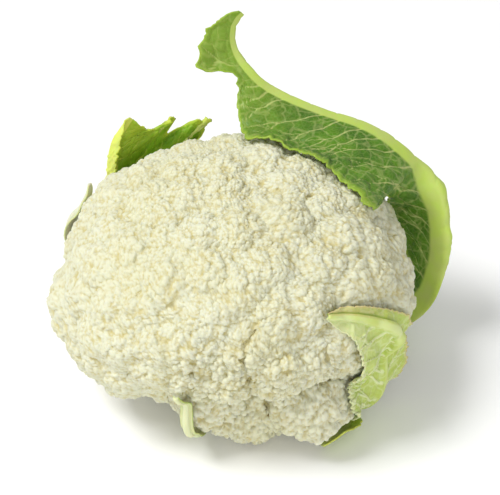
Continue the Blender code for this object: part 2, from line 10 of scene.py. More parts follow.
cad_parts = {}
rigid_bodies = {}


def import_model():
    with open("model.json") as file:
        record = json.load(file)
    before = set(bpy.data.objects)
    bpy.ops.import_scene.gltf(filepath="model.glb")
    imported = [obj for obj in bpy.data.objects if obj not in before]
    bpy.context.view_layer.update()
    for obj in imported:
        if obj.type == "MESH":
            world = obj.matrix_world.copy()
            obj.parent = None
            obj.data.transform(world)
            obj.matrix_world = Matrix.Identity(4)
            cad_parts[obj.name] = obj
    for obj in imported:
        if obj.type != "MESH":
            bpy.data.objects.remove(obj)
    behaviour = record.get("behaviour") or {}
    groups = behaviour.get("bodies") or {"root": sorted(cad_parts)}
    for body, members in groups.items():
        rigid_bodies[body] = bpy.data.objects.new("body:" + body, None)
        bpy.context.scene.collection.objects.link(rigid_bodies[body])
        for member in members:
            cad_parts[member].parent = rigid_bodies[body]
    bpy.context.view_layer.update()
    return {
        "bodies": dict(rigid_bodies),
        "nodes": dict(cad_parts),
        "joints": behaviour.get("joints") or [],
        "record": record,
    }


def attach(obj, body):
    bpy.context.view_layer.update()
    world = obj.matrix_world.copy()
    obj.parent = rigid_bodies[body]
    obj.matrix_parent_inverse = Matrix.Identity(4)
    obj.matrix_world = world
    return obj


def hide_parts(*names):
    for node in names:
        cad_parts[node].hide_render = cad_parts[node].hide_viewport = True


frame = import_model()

# The curd. A head of white florets on branches that all spring from one centre; each floret is a dome of
# lobes, each lobe a heap of bud clusters, and each cluster a heap of buds under two millimetres across.
# Each floret is a closed piece here, set side by side with its neighbours on a core of branches.
MM = 0.001
GOLDEN_ANGLE = math.pi * (3 - math.sqrt(5))
HEAD_LEAN = math.radians(14)
HEAD_ROLL = math.radians(-4)
HEAD_CENTRE_UP_AXIS = 62 * MM
HEAD_HALF_WIDTH = 97 * MM
HEAD_HALF_DEPTH = 84 * MM
HEAD_RISE = 70 * MM
HEAD_DROP = 62 * MM
CORE_RADIUS = 38 * MM
CORE_FOOT = 32 * MM
# The curd is cut level where it meets the stalk. The cut fades out between these two slopes of a ray.
FOOT_BAND = (0.62, 0.48)
FOOT_FREE = 120 * MM
# Florets: azimuth and polar angle on the head in degrees, reach as a share of the head's shell, and the
# radius of the floret's dome in mm. Azimuth 0 is the right, -90 the front; polar angle 0 is the crown.
FLORETS = (
    (105, 22, 0.98, 33),
    (42, 37, 1.00, 33),
    (-85, 17, 1.00, 31),
    (-25, 36, 1.00, 31),
    (170, 35, 0.965, 34),
    (115, 52, 0.965, 33),
    (72, 60, 0.99, 32),
    (22, 60, 1.00, 31),
    (-16, 63, 1.01, 33),
    (-50, 50, 1.00, 31),
    (-84, 44, 1.01, 31),
    (-126, 45, 1.01, 33),
    (-160, 58, 1.01, 33),
    (152, 62, 0.97, 33),
    (-142, 76, 1.00, 31),
    (-168, 84, 0.99, 29),
    (-118, 67, 0.99, 28),
    (-92, 70, 0.96, 28),
    (-65, 72, 0.98, 29),
    (-38, 80, 0.97, 29),
    (-10, 86, 0.99, 29),
    (16, 85, 0.99, 29),
    (48, 82, 0.98, 30),
    (78, 86, 0.98, 30),
    (106, 82, 0.98, 30),
    (134, 86, 0.98, 30),
    (160, 88, 0.97, 28),
    (-152, 98, 0.96, 25),
    (-136, 98, 0.85, 25),
    (-101, 102, 0.94, 24),
    (-56, 104, 1.11, 24),
    (-30, 100, 0.90, 25),
    (-79, 117, 1.06, 26),
)
SOFTNESS = 2.5 * MM
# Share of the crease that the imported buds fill: on the crown, and in the band of polar angles in degrees
# where the florets stand apart. Below the last band the creases are open. Round one direction at the front
# the florets are loose too: within the first two cosines of it the buds fill less of the crease, and within
# the next two the crease dives in further and the heaps stand higher.
TIGHT_CROWN = 0.56
TIGHT_RIM = 0.1
RIM_BAND = (62, 88)
EDGE_BAND = (86, 98)
LOOSE_FRONT = (-82, 92)
LOOSE_WITHIN = (0.80, 0.93)
DEEP_WITHIN = (0.74, 0.93)
# The creases wander: size of the bends on the unit ball and how many fit round it, coarse and fine.
WANDER = ((0.025, 9.0), (0.02, 19.0))
CREASE_DEPTH = 3.0 * MM
CREASE_HALF_WIDTH = 2.5 * MM
# Lobes: how near two may stand and how far one spreads as shares of their spacing, how far down a dome's
# side they go, how deep one may lie in the next dome, and the area that one takes in a triangle lattice.
LOBE_SPACING = 21 * MM
LOBE_HEIGHT = 4.2 * MM
LOBE_APART = 0.72
LOBE_SPREAD = 0.62
LOBE_LOWEST = -0.35
LOBE_BURIED = 0.8 * MM
LOBE_AREA = 0.866
# Heaps upon heaps: the size of a heap, how high it stands and how much painted shade darkens the colour of
# its crevices.
HEAPS = (
    (9.0 * MM, 1.7 * MM, 0.25),
    (4.3 * MM, 1.1 * MM, 0.5),
    (1.8 * MM, 0.8 * MM, 0.6),
)
FLORET_STEPS = 144
# Past its border a floret dives this steeply and this deep. No floret spans more than the widest angle, and
# each patch runs a little past its own border.
TUCK_SLOPE = 1.5
TUCK_DEPTH = 24 * MM
WIDEST_FLORET = math.radians(44)
PAST_BORDER = math.radians(2.5)
CORE_OVERLAP = 2 * MM
# A fixed direction that no floret's axis lies along, from which its sideways directions are worked out.
SIDE_HINT = [0.31, -0.72, 0.62]
# The heaps' lattice is bent by this much over this length, so that no row of heaps runs straight. A heap's
# profile of the middle value leaves the surface where it was. Loose florets' heaps are higher by a share.
HEAP_BEND = (1.5 * MM, 17 * MM)
HEAP_MIDDLE = 0.6
LOOSE_HEAPS = 0.9
# Painted shade in the creases between florets: how dark, how much more between loose florets, and over what
# distance from its border.
CREASE_SHADE = 0.1
LOOSE_SHADE = 0.3
SHADE_BAND = (3 * MM, -1 * MM)
CREVICE_POWER = 1.3
CURD_OFF_FLOOR = 0.2 * MM


def unit(vectors):
    """Rows scaled to length 1."""
    vectors = np.asarray(vectors, float)
    return vectors / np.linalg.norm(vectors, axis=-1, keepdims=True)


def smoothstep(low, high, x):
    """0 below low, 1 above high, and a smooth S between."""
    t = np.clip((x - low) / (high - low), 0, 1)
    return t * t * (3 - 2 * t)


HEAD_TURN = np.array(Matrix.Rotation(HEAD_ROLL, 3, "Y") @ Matrix.Rotation(HEAD_LEAN, 3, "X"))
HEAD_AXIS = HEAD_TURN @ np.array([0.0, 0.0, 1.0])
HEAD_CENTRE = HEAD_AXIS * HEAD_CENTRE_UP_AXIS


def direction(azimuth, polar):
    """The unit vector in the head's own axes for angles in degrees."""
    a, p = math.radians(azimuth), math.radians(polar)
    return np.array([math.cos(a) * math.sin(p), math.sin(a) * math.sin(p), math.cos(p)])


def shell_reach(rays):
    """Distance from the head's centre to its smooth shell: an ellipsoid, flatter below its widest ring."""
    half_height = np.where(rays[:, 2] > 0, HEAD_RISE, HEAD_DROP)
    scaled = rays / np.column_stack(
        [np.full(len(rays), HEAD_HALF_WIDTH), np.full(len(rays), HEAD_HALF_DEPTH), half_height]
    )
    return 1 / np.linalg.norm(scaled, axis=1)


FLORET_RAYS = np.array([direction(azimuth, polar) for azimuth, polar, _, _ in FLORETS])
FLORET_RADII = np.array([radius for _, _, _, radius in FLORETS]) * MM
FLORET_SHARES = np.array([share for _, _, share, _ in FLORETS])
FLORET_CENTRES = FLORET_RAYS * (shell_reach(FLORET_RAYS) * FLORET_SHARES - FLORET_RADII)[:, None]


def floret_hits(rays):
    """Distance along each ray to the far side of each dome, falling away smoothly where the ray misses it.

    The rays are bent a little first, by sines of one another's parts, so that no border runs straight.
    """
    bent = rays
    for size, turns in WANDER:
        bent = bent + size * np.sin(turns * rays[:, [1, 2, 0]] + turns)
    along = unit(bent) @ FLORET_CENTRES.T
    aside = np.sqrt(np.maximum((FLORET_CENTRES**2).sum(1) - along**2, 0))
    inside = np.sqrt(np.maximum(FLORET_RADII**2 - aside**2, 0))
    return along + inside - 2 * np.maximum(aside - FLORET_RADII, 0)


def foot_reach(rays):
    """Distance to the level at which the curd meets the stalk; away from the stalk nothing is cut there."""
    below = -rays[:, 2]
    return CORE_FOOT / np.maximum(below, 0.3) + FOOT_FREE * smoothstep(*FOOT_BAND, below)


def floor_reach(rays):
    """Distance from the head's centre at which a ray meets the resting surface."""
    drop = -(rays @ HEAD_TURN.T)[:, 2]
    return np.where(drop > 0.05, HEAD_CENTRE[2] / np.maximum(drop, 0.05), np.inf)


def base_reach(rays):
    """Distance from the head's centre to the florets' domes: a soft maximum of the domes, drawn towards the
    smooth shell where the curd is tight, and never nearer than the core."""
    hits = floret_hits(rays)
    best = hits.max(1)
    spare = np.log(np.exp((hits - best[:, None]) / SOFTNESS).sum(1))
    union = best + SOFTNESS * spare - SOFTNESS * math.log(2)
    polar = np.degrees(np.arccos(np.clip(rays[:, 2], -1, 1)))
    loose_front = smoothstep(*LOOSE_WITHIN, rays @ direction(*LOOSE_FRONT))
    tight = TIGHT_CROWN + (TIGHT_RIM - TIGHT_CROWN) * np.maximum(smoothstep(*RIM_BAND, polar), loose_front)
    tight = tight * (1 - smoothstep(*EDGE_BAND, polar))
    reach = union + (shell_reach(rays) - union) * tight
    core = np.minimum(CORE_RADIUS, CORE_FOOT / np.maximum(-rays[:, 2], 0.2))
    return np.minimum(np.maximum(reach, core), foot_reach(rays))


def spiral_on_florets(spacing):
    """Points in golden-angle spirals on the domes, less those in another dome or too near a kept one."""
    kept = []
    for centre, radius in zip(FLORET_CENTRES, FLORET_RADII):
        outward = centre / np.linalg.norm(centre)
        side = unit(np.cross(outward, SIDE_HINT))
        other = np.cross(outward, side)
        count = int(4 * math.pi * radius**2 / (LOBE_AREA * spacing**2))
        for i in range(count):
            height = 1 - 2 * (i + 0.5) / count
            if height < LOBE_LOWEST:
                break
            ring = math.sqrt(1 - height * height)
            turn = i * GOLDEN_ANGLE
            way = outward * height + (side * math.cos(turn) + other * math.sin(turn)) * ring
            point = centre + way * radius
            reach = np.linalg.norm(point)
            ray = point / reach
            if floret_hits(ray[None])[0].max() > reach + LOBE_BURIED:
                continue
            place = ray * base_reach(ray[None])[0]
            if all(np.linalg.norm(place - k) > LOBE_APART * spacing for k in kept):
                kept.append(place)
    return np.array(kept)


LOBES = spiral_on_florets(LOBE_SPACING)


def curd_reach(rays):
    """The florets' domes with their lobes: each lobe is a low dome round its own point."""
    reach = base_reach(rays)
    points = rays * reach[:, None]
    nearest = np.full(len(rays), np.inf)
    for lobe in LOBES:
        nearest = np.minimum(nearest, np.linalg.norm(points - lobe, axis=1))
    return reach + LOBE_HEIGHT * (1 - np.minimum(nearest / (LOBE_SPREAD * LOBE_SPACING), 1) ** 2)


def to_world(points):
    """From the head's own axes to the world's."""
    return points @ HEAD_TURN.T + HEAD_CENTRE


def cube_random(cube, salt):
    """Three numbers between 0 and 1 for each cube of a lattice, mixed from its whole-number corner."""
    cube = cube.astype(np.uint64)
    mixed = cube[:, 0] * np.uint64(73856093) ^ cube[:, 1] * np.uint64(19349663)
    mixed = mixed ^ cube[:, 2] * np.uint64(83492791) ^ np.uint64(salt * 2654435761 % 2**32)
    numbers = []
    for _ in range(3):
        mixed = (mixed ^ (mixed >> np.uint64(15))) * np.uint64(2246822519) & np.uint64(0xFFFFFFFF)
        mixed = (mixed ^ (mixed >> np.uint64(13))) * np.uint64(3266489917) & np.uint64(0xFFFFFFFF)
        numbers.append((mixed >> np.uint64(8) & np.uint64(0xFFFF)).astype(float) / 65536)
    return np.column_stack(numbers)


def heap_profile(points, cell, salt):
    """1 in the middle of a heap, falling to 0 in the crevices between heaps.

    One seed lies at random in each cube of a lattice. A point's height is a dome over its nearest seed,
    cut down along the borders where a second seed is as near.
    """
    scaled = points / cell + 500.5
    corner = np.floor(scaled).astype(np.int64)
    nearest = np.full(len(points), 9.0)
    second = nearest
    for shift in np.ndindex(3, 3, 3):
        cube = corner + (np.array(shift) - 1)
        seed = cube + 0.1 + 0.8 * cube_random(cube, salt)
        far = np.linalg.norm(seed - scaled, axis=1)
        second = np.minimum(second, np.maximum(nearest, far))
        nearest = np.minimum(nearest, far)
    dome = np.sqrt(np.clip(1 - nearest**2 / 0.75, 0, 1))
    return dome * (0.5 + 0.5 * smoothstep(0, 0.3, second - nearest))


def grid_normals(grid):
    """Unit normals of a grid of points: the way along its rows crossed with the way across them."""
    return unit(np.cross(np.gradient(grid, axis=0), np.gradient(grid, axis=1)))


def mesh_piece(name, points, faces, numbers=None, vectors=None):
    """One smooth object from points and faces, with named numbers or vectors on its points."""
    mesh = bpy.data.meshes.new(name)
    mesh.from_pydata(points.tolist(), [], faces.tolist() if hasattr(faces, "tolist") else faces)
    for key, values in (numbers or {}).items():
        flat = np.ascontiguousarray(values, np.float32)
        mesh.attributes.new(key, "FLOAT", "POINT").data.foreach_set("value", flat)
    for key, values in (vectors or {}).items():
        flat = np.ascontiguousarray(values, np.float32).ravel()
        mesh.attributes.new(key, "FLOAT_VECTOR", "POINT").data.foreach_set("vector", flat)
    mesh.shade_smooth()
    mesh.update()
    piece = bpy.data.objects.new(name, mesh)
    bpy.context.scene.collection.objects.link(piece)
    return piece


def grid_faces(rows, columns):
    """Four-cornered faces over a grid of rows x columns points, facing the grid's normals."""
    index = np.arange(rows * columns).reshape(rows, columns)
    return np.stack(
        [index[:-1, :-1], index[1:, :-1], index[1:, 1:], index[:-1, 1:]], axis=-1
    ).reshape(-1, 4)


def grid_rim(rows, columns):
    """The points round the outside of a grid, once each."""
    index = np.arange(rows * columns).reshape(rows, columns)
    return np.concatenate([index[0, :-1], index[:-1, -1], index[-1, :0:-1], index[:0:-1, 0]])


def ring_faces(rings, turns):
    """Faces over closed rings of points from the top down, with one more point to close each end."""
    index = np.arange(rings * turns).reshape(rings, turns)
    after = np.roll(index, -1, axis=1)
    quads = np.stack([index[:-1], index[1:], after[1:], after[:-1]], -1).reshape(-1, 4).tolist()
    top = [[rings * turns, int(a), int(b)] for a, b in zip(index[0], after[0])]
    foot = [[rings * turns + 1, int(b), int(a)] for a, b in zip(index[-1], after[-1])]
    return quads + top + foot


class Wire:
    """A number or colour that varies over a surface. Arithmetic on it adds Math nodes to its material."""

    def __init__(self, finish, socket):
        self.finish = finish
        self.socket = socket

    def math(self, operation, a, b=0.0):
        return self.finish.node("ShaderNodeMath", {"operation": operation}, {0: a, 1: b})

    def __add__(self, other):
        return self.math("ADD", self, other)

    def __rsub__(self, other):
        return self.math("SUBTRACT", other, self)

    def __mul__(self, other):
        return self.math("MULTIPLY", self, other)


class Finish:
    """A material being built: its nodes come from one method, and varying looks go to its shader."""

    def __init__(self, name, **constants):
        self.material = bpy.data.materials.new(name)
        self.material.use_nodes = True
        self.tree = self.material.node_tree
        self.shader = self.tree.nodes["Principled BSDF"]
        for key, value in constants.items():
            self.shader.inputs[key.replace("_", " ")].default_value = value

    def node(self, kind, settings, sockets, output=0):
        """A node of a kind: its settings first, then the values or links of its sockets."""
        made = self.tree.nodes.new(kind)
        for key, value in settings.items():
            setattr(made, key, value)
        for key, value in sockets.items():
            if isinstance(value, Wire):
                self.tree.links.new(value.socket, made.inputs[key])
            else:
                made.inputs[key].default_value = value
        return Wire(self, made.outputs[output])

    def number(self, name):
        """A number stored on the mesh's points."""
        return self.node("ShaderNodeAttribute", {"attribute_name": name}, {}, "Fac")

    def vector(self, name):
        """A vector stored on the mesh's points."""
        return self.node("ShaderNodeAttribute", {"attribute_name": name}, {}, "Vector")

    def place(self):
        """The point itself, in metres."""
        return self.node("ShaderNodeTexCoord", {}, {}, "Object")

    def noise(self, where, size, detail=3.0):
        """Soft random spots of a size in metres, between 0 and 1."""
        sockets = {"Vector": where, "Scale": 1 / size, "Detail": detail}
        return self.node("ShaderNodeTexNoise", {}, sockets, "Fac")

    def blend(self, factor, first, second):
        """From the first colour to the second as the factor goes from 0 to 1."""
        settings = {"data_type": "RGBA", "clamp_factor": True}
        return self.node("ShaderNodeMix", settings, {"Factor": factor, 6: first, 7: second}, 2)

    def step(self, low, high, value):
        """0 where the value is below low and 1 above high, smoothly between."""
        settings = {"interpolation_type": "SMOOTHSTEP"}
        return self.node("ShaderNodeMapRange", settings, {"Value": value, "From Min": low, "From Max": high})

    def bump(self, height, distance, strength):
        """Fine relief: the height as a distance in metres, on the shader's normal."""
        sockets = {"Height": height, "Distance": distance, "Strength": strength}
        self.feed("Normal", self.node("ShaderNodeBump", {}, sockets, "Normal"))

    def feed(self, name, wire):
        self.tree.links.new(wire.socket, self.shader.inputs[name])


def paint(red, green, blue):
    """A colour as a screen shows it, 0 to 255, turned into the light it stands for."""
    return tuple(((c / 255 + 0.055) / 1.055) ** 2.4 for c in (red, green, blue)) + (1.0,)


def curd_finish():
    """Ivory buds with crevices painted a darker yellow-tan as shade, and warmer or greener patches a few
    centimetres wide.
    """
    finish = Finish("curd_ivory", Roughness=0.62, Subsurface_Weight=0.25, Subsurface_Scale=0.004)
    finish.shader.inputs["Subsurface Radius"].default_value = (1.0, 0.85, 0.45)
    painted_crevice_shade = finish.number("painted_crevice_shade")
    stem = finish.number("stem")
    where = finish.place()
    patch = finish.step(0.35, 0.7, finish.noise(where, 30 * MM))
    speck = finish.step(0.45, 0.75, finish.noise(where, 5 * MM))
    buds = finish.blend(patch * 0.6, paint(214, 215, 190), paint(210, 209, 175))
    buds = finish.blend(speck * 0.25, buds, paint(205, 196, 149))
    # Painted shade: where the points' crevice shade number is high, the buds are painted a darker yellow-tan,
    # darkest in the deepest crevices.
    deep = finish.blend(finish.step(0.75, 1.0, painted_crevice_shade), paint(198, 187, 130), paint(134, 116, 60))
    skin = finish.blend(finish.step(0.24, 0.72, painted_crevice_shade), buds, deep)
    skin = finish.blend(stem, skin, paint(232, 236, 200))
    finish.feed("Base Color", skin)
    grain = finish.node("ShaderNodeTexVoronoi", {}, {"Vector": where, "Scale": 1 / (1.3 * MM)}, "Distance")
    finish.bump(1 - grain, 0.35 * MM, 0.5)
    return finish.material


def floret_patch(number):
    """A floret as a closed piece.

    A square grid is bent into a disc of directions round the floret's axis and carried out to the curd's
    surface. Past its border with a neighbour, or with the core, it dives to form the crease. Heaps of
    clusters and buds are raised on it one after another, each along the surface that the last one left.
    """
    axis = FLORET_RAYS[number]
    side = unit(np.cross(axis, SIDE_HINT))
    other = np.cross(axis, side)
    x, y = np.meshgrid(np.linspace(-1, 1, FLORET_STEPS), np.linspace(-1, 1, FLORET_STEPS), indexing="ij")
    disc_x = x * np.sqrt(1 - y * y / 2)
    disc_y = y * np.sqrt(1 - x * x / 2)
    turn = np.arctan2(disc_y, disc_x)[..., None]
    out = np.hypot(disc_x, disc_y)[..., None]

    def rays_within(spread):
        """Directions over the whole disc, with its edge turned away from the axis by the spread."""
        sideways = side * np.cos(turn) + other * np.sin(turn)
        return axis * np.cos(out * spread) + sideways * np.sin(out * spread)

    def ownership(rays):
        """How much farther this floret's dome reaches than every other and the core: 0 on its border."""
        hits = floret_hits(rays)
        own = hits[:, number].copy()
        hits[:, number] = CORE_RADIUS + CORE_OVERLAP
        return own - hits.max(1)

    wide = rays_within(WIDEST_FLORET)
    owned = ownership(wide.reshape(-1, 3)).reshape(out.shape) > 0
    spread = WIDEST_FLORET * out[owned].max() + PAST_BORDER
    rays = rays_within(spread).reshape(-1, 3)
    margin = ownership(rays)
    reach = curd_reach(rays)
    tuck = np.clip(-margin, 0, None)
    loose = smoothstep(*DEEP_WITHIN, rays @ direction(*LOOSE_FRONT))
    crease = CREASE_DEPTH * loose * smoothstep(CREASE_HALF_WIDTH, 0, margin)
    dive = crease + np.minimum(TUCK_SLOPE * tuck, TUCK_DEPTH)
    reach = np.minimum(np.minimum(reach - dive, floor_reach(rays)), foot_reach(rays))
    shape = (FLORET_STEPS, FLORET_STEPS, 3)
    start = rays * reach[:, None]
    bend, length = HEAP_BEND
    bent = start + bend * np.sin(start[:, [1, 2, 0]] * 2 * math.pi / length)
    grid = start.reshape(shape)
    open_crevice = np.ones(len(rays))
    # Besides its relief, each heap level darkens the colour in its crevices as painted shade.
    for level, (size, height, shade) in enumerate(HEAPS):
        profile = heap_profile(bent, size, level + 1)
        lift = height * (profile - HEAP_MIDDLE) * (1 + LOOSE_HEAPS * loose * (level < 2))
        grid = grid + grid_normals(grid) * lift.reshape(shape[:2])[..., None]
        open_crevice = open_crevice * (1 - shade * (1 - profile) ** CREVICE_POWER)
    # Painted shade in the creases between florets, joined with the crevices' painted shade into one number on
    # the points.
    shade_in_crease = (CREASE_SHADE + LOOSE_SHADE * loose) * smoothstep(*SHADE_BAND, margin)
    painted_crevice_shade = 1 - open_crevice * (1 - shade_in_crease)
    points = to_world(grid.reshape(-1, 3))
    points[:, 2] = np.maximum(points[:, 2], CURD_OFF_FLOOR)
    apex = to_world((axis * (CORE_RADIUS * 0.5))[None])
    rim = grid_rim(FLORET_STEPS, FLORET_STEPS)
    fan = [(int(a), int(b), FLORET_STEPS**2) for a, b in zip(rim, np.roll(rim, -1))]
    faces = grid_faces(FLORET_STEPS, FLORET_STEPS).tolist() + fan
    numbers = {"painted_crevice_shade": np.append(painted_crevice_shade, 1), "stem": np.zeros(len(points) + 1)}
    return mesh_piece(f"floret_{number + 1:02d}", np.vstack([points, apex]), faces, numbers)


curd_material = curd_finish()
for number in range(len(FLORETS)):
    floret = floret_patch(number)
    floret.data.materials.append(curd_material)
    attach(floret, "root")
    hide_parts("curd")

# The core of branches under the florets. It is one grown piece with the curd: thick pale stems that fork
# from the stalk to each floret, seen only from below and deep between the florets.
CORE_RINGS = 120
CORE_TURNS = 240
CORE_SINK = 6 * MM
# The core sinks where the florets reach between the first two distances, and is pale stem below the others.
CORE_HIDDEN = (CORE_RADIUS - 2 * MM, CORE_RADIUS + 8 * MM)
STEM_BAND = (CORE_RADIUS + 10 * MM, CORE_RADIUS)
CORE_OFF_FLOOR = 1.5 * MM


def branch_core():
    """The curd's surface again over the whole ball of directions, sunk a little wherever florets cover it."""
    polar = np.linspace(0, math.pi, CORE_RINGS)[1:-1]
    turn = np.linspace(0, 2 * math.pi, CORE_TURNS, endpoint=False)
    p, t = np.meshgrid(polar, turn, indexing="ij")
    rays = np.stack([np.sin(p) * np.cos(t), np.sin(p) * np.sin(t), np.cos(p)], -1).reshape(-1, 3)
    rays = np.vstack([rays, [[0, 0, 1.0], [0, 0, -1.0]]])
    best = floret_hits(rays).max(1)
    sink = CORE_SINK * smoothstep(*CORE_HIDDEN, best)
    reach = np.minimum(base_reach(rays) - sink, floor_reach(rays) - CORE_OFF_FLOOR)
    points = to_world(rays * reach[:, None])
    stem = smoothstep(*STEM_BAND, best)
    # The core takes a small, even share of the painted crevice shade.
    numbers = {"painted_crevice_shade": np.zeros(len(points)) + 0.3, "stem": stem}
    return mesh_piece("curd_core", points, ring_faces(*p.shape), numbers)


core = branch_core()
core.data.materials.append(curd_material)
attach(core, "root")
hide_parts("curd")

# The stalk. A short woody stump, pale green, knifed through level at the foot; ledges ring it where the
# outer leaves were cut away. The curd's branches spring from its top.
STALK_RADIUS = 22 * MM
STALK_TURNS = 360
STALK_RINGS = 90
STALK_GAP = 0.4 * MM
CUT_RINGS = 24
CUT_LIFT = 0.25 * MM
FIBRES_ROUND = 61
FIBRE_HIGH = 0.12 * MM
# Ledges of trimmed leaves: the direction in degrees, the spread in degrees, the top and the reach in mm.
TRIMMED_BASES = ((72, 30, 19, 8), (-148, 24, 16, 7), (-78, 12, 11, 4))


def stalk_radius(turn, height):
    """The stump's radius: a rounded pentagon with ledges where leaves were cut away above it."""
    radius = STALK_RADIUS * (1 + 0.02 * np.cos(5 * turn + 0.7)) - 0.05 * height
    for degrees, spread, top, out in TRIMMED_BASES:
        aside = np.abs((turn - math.radians(degrees) + math.pi) % (2 * math.pi) - math.pi)
        ledge = smoothstep(math.radians(spread), math.radians(spread / 2), aside)
        rise = smoothstep(-6, 9, height / MM) * smoothstep(top + 1.6, top, height / MM)
        radius = radius + out * MM * ledge * rise
    return radius


def stump():
    """Rings of points run straight along the head's axis from the square top down to the level cut. They
    are listed from the cut up, so their faces are turned over."""
    top = HEAD_CENTRE_UP_AXIS - CORE_FOOT - STALK_GAP
    share = np.linspace(0, 1, STALK_RINGS)[:, None]
    turn = np.linspace(0, 2 * math.pi, STALK_TURNS, endpoint=False)[None]
    height = top * share + 0 * turn
    radius = stalk_radius(turn + 0 * share, height)
    waver = 3 * np.sin(height / (4 * MM))
    fibre = FIBRE_HIGH * np.sin(turn * FIBRES_ROUND + waver) * smoothstep(0, 0.1, share)
    radius = radius + fibre
    inner = np.linspace(1, 0, CUT_RINGS)[1:, None]
    local = np.stack([radius * np.cos(turn), radius * np.sin(turn), np.full_like(radius, top)], -1)
    world = local @ HEAD_TURN.T
    drop = world[..., 2] / HEAD_AXIS[2] * (1 - share)
    wall = world - drop[..., None] * HEAD_AXIS
    ring = inner[:-1, :, None]
    foot = wall[0][None] * ring
    foot[..., 2] = CUT_LIFT * smoothstep(0.12, 0.3, 1 - ring[..., 0]) * (1 + np.sin(turn * 3) * 0.3)
    lid = HEAD_AXIS * top + (wall[-1] - HEAD_AXIS * top)[None] * ring
    rings = np.concatenate([foot[::-1], wall, lid])
    radial = np.concatenate([ring[::-1, :, 0] + 0 * turn, 1 + 0 * height, ring[..., 0] + 0 * turn])
    count = len(rings)
    points = np.vstack([rings.reshape(-1, 3), [[0, 0, CUT_LIFT]], [HEAD_AXIS * top]])
    faces = [face[:1] + face[:0:-1] for face in ring_faces(count, STALK_TURNS)]
    numbers = {
        "radial": np.append(radial.ravel(), [0, 0]),
        "cut": np.append((np.arange(count) < len(foot)).repeat(STALK_TURNS).astype(float), [1, 0]),
    }
    return mesh_piece("stalk_stump", points, faces, numbers)


def stalk_finish():
    """Pale green skin with fine fibres; on the cut, a creamy white pith inside a greener woody ring."""
    finish = Finish("stalk_pale", Roughness=0.5, Subsurface_Weight=0.15, Subsurface_Scale=0.003)
    where = finish.place()
    cut = finish.number("cut")
    radial = finish.number("radial")
    fibres = finish.node("ShaderNodeMapping", {}, {"Vector": where, "Scale": (1.0, 1.0, 0.12)})
    streak = finish.step(0.4, 0.65, finish.noise(fibres, 1.6 * MM))
    skin = finish.blend(streak * 0.5, paint(208, 218, 160), paint(172, 190, 112))
    skin = finish.blend(finish.step(0.55, 0.8, finish.noise(where, 9 * MM)) * 0.5, skin, paint(226, 226, 188))
    ring = finish.step(0.68, 0.76, radial) * (1 - finish.step(0.86, 0.93, radial))
    spots = finish.step(0.4, 0.7, finish.noise(where, 3 * MM))
    pith = finish.blend(spots * 0.4, paint(238, 236, 208), paint(216, 206, 156))
    face = finish.blend(ring, pith, paint(176, 182, 112))
    finish.feed("Base Color", finish.blend(cut, skin, face))
    finish.bump(finish.noise(fibres, 1.2 * MM), 0.3 * MM, 0.5)
    return finish.material


stump_piece = stump()
stump_piece.data.materials.append(stalk_finish())
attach(stump_piece, "root")
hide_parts("stalk")

# The large leaf on the right. A thick pale midrib with a waxy dark green blade; it rises from the stalk
# under the head, clears the curd's right side and arches over its back, with one half folded behind it.
# Rows run from the stalk to the tip, in mm and degrees: the point on the rib (3), the way that the inner
# side faces (3), the width of the far and near half, their folds, their curls, and the rib's radius.
RIGHT_LEAF = (
    (24.5, 5, 15, 0.0, 0.0, 1.0, 9, 9, 0, 0, 0, 0, 7.5),
    (52, 7, 13, -0.1, 0.0, 1.0, 9, 9, 0, 0, 0, 0, 7.2),
    (82, 8, 15, -0.5, -0.2, 0.85, 10, 9, 5, -20, 0, 0, 6.8),
    (101, 10, 29, -0.8, -0.4, 0.35, 13, 8, 10, -60, 5, 0, 6.2),
    (107, 13, 47, -0.8, -0.5, 0.2, 21, 8, 15, -90, 8, 0, 5.8),
    (107.8, 15, 64, -0.8, -0.6, 0.1, 27, 9, 15, -100, 10, 0, 5.6),
    (105.5, 19, 83, -0.7, -0.65, 0.25, 30, 10, 10, -100, 10, 0, 5.4),
    (99.5, 24, 99, -0.1, -0.6, 0.65, 22, 11, 0, -100, 0, 0, 5.2),
    (95.5, 26.3, 106, 0.3, -0.45, 0.7, 36, 12, 0, -100, 0, 0, 5.0),
    (91.5, 28, 111, 0.54, -0.25, 0.66, 58, 12, 0, -100, 0, 0, 4.8),
    (77, 34, 121.5, 0.36, -0.17, 0.9, 52, 13, -5, -100, -5, 0, 4.2),
    (63, 39, 126.7, 0.3, -0.12, 0.93, 48, 13, -5, -100, -8, 0, 3.6),
    (47, 43.5, 130, 0.32, -0.15, 0.92, 47, 13, -5, -100, -8, 0, 3.1),
    (31, 47.5, 134.5, 0.38, -0.3, 0.85, 42, 12, -5, -100, -5, 0, 2.7),
    (18, 51, 139.6, 0.4, -0.55, 0.7, 32, 10, 0, -110, 0, 0, 2.3),
    (11, 52.5, 144, 0.4, -0.7, 0.55, 19, 8, 0, -105, 5, 0, 2.0),
    (6, 54, 148.5, 0.35, -0.85, 0.35, 9, 7, 0, -105, 10, 0, 1.8),
    (1.5, 56, 153.5, 0.3, -0.92, 0.2, 8, 6, 0, -100, 10, 0, 1.6),
    (-1.5, 57.7, 158, 0.3, -0.95, 0.12, 21, 6, 0, -100, 10, 0, 1.5),
    (-3.7, 59.3, 164, 0.3, -0.95, 0.1, 18, 5, 0, -95, 10, 0, 1.3),
    (-4, 60.5, 171, 0.3, -0.95, 0.1, 12, 4, 0, -80, 5, 0, 1.1),
    (-2, 61.4, 177, 0.3, -0.95, 0.1, 6, 2.5, 0, -50, 0, 0, 0.9),
    (1.2, 62, 180.7, 0.3, -0.95, 0.1, 2, 1.5, 0, -40, 0, 0, 0.8),
)
# A blade's thickness, how far it keeps from the curd and the floor, and the rounds that draw it taut there.
BLADE = 0.8 * MM
CLEAR_OF_CURD = 3.0 * MM
FLOOR_GAP = 0.8 * MM
TAUT_ROUNDS = 40
